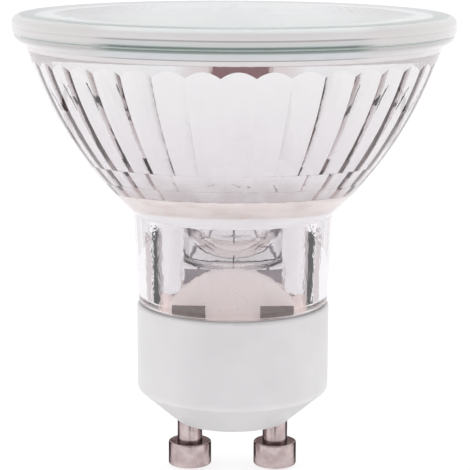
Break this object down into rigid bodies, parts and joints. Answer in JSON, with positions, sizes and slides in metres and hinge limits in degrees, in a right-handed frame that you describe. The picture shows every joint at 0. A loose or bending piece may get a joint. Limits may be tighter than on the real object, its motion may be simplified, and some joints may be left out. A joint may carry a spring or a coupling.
{
  "type": "gu10 spotlight bulb",
  "caption": "Halogen reflector lamp: faceted glass bowl with flat cover glass, clear neck with quartz capsule, white ceramic base and twist-and-lock contact pins.",
  "frame": {"origin": "middle of the two contact pins on the flat underside of the ceramic base", "axes": "+Z along the lamp's axis towards the cover glass, pins lie along X, left pin on -X, +Y to the back"},
  "size_m": [0.05, 0.05, 0.0531],
  "materials": {
    "clear_glass": "clear flat glass, faint green at the edge",
    "pressed_glass": "clear pressed glass with a thin mirror film inside the bowl",
    "quartz": "clear quartz",
    "silicone": "translucent silicone film",
    "steatite": "dense white steatite, satin",
    "cement": "matt cream potting cement",
    "nickel_plate": "bright nickel plate",
    "weld_metal": "dull weld metal",
    "molybdenum": "grey molybdenum",
    "tungsten": "dark drawn tungsten",
    "fuse_alloy": "thin nickel alloy wire",
    "spring_steel": "stamped grey spring steel"
  },
  "bodies": {
    "root": {"cover_glass": "clear_glass", "cover_adhesive": "silicone", "reflector": "pressed_glass", "ceramic_base": "steatite", "contact_pin_left": "nickel_plate", "contact_pin_right": "nickel_plate", "weld_bead_left": "weld_metal", "weld_bead_right": "weld_metal", "capsule_envelope": "quartz", "foil_left": "molybdenum", "foil_right": "molybdenum", "inner_lead_left": "molybdenum", "inner_lead_right": "molybdenum", "outer_lead_left": "molybdenum", "outer_lead_right": "molybdenum", "fuse_wire": "fuse_alloy", "filament": "tungsten", "filament_hook": "tungsten", "capsule_clip": "spring_steel", "cement": "cement"}
  },
  "joints": []
}
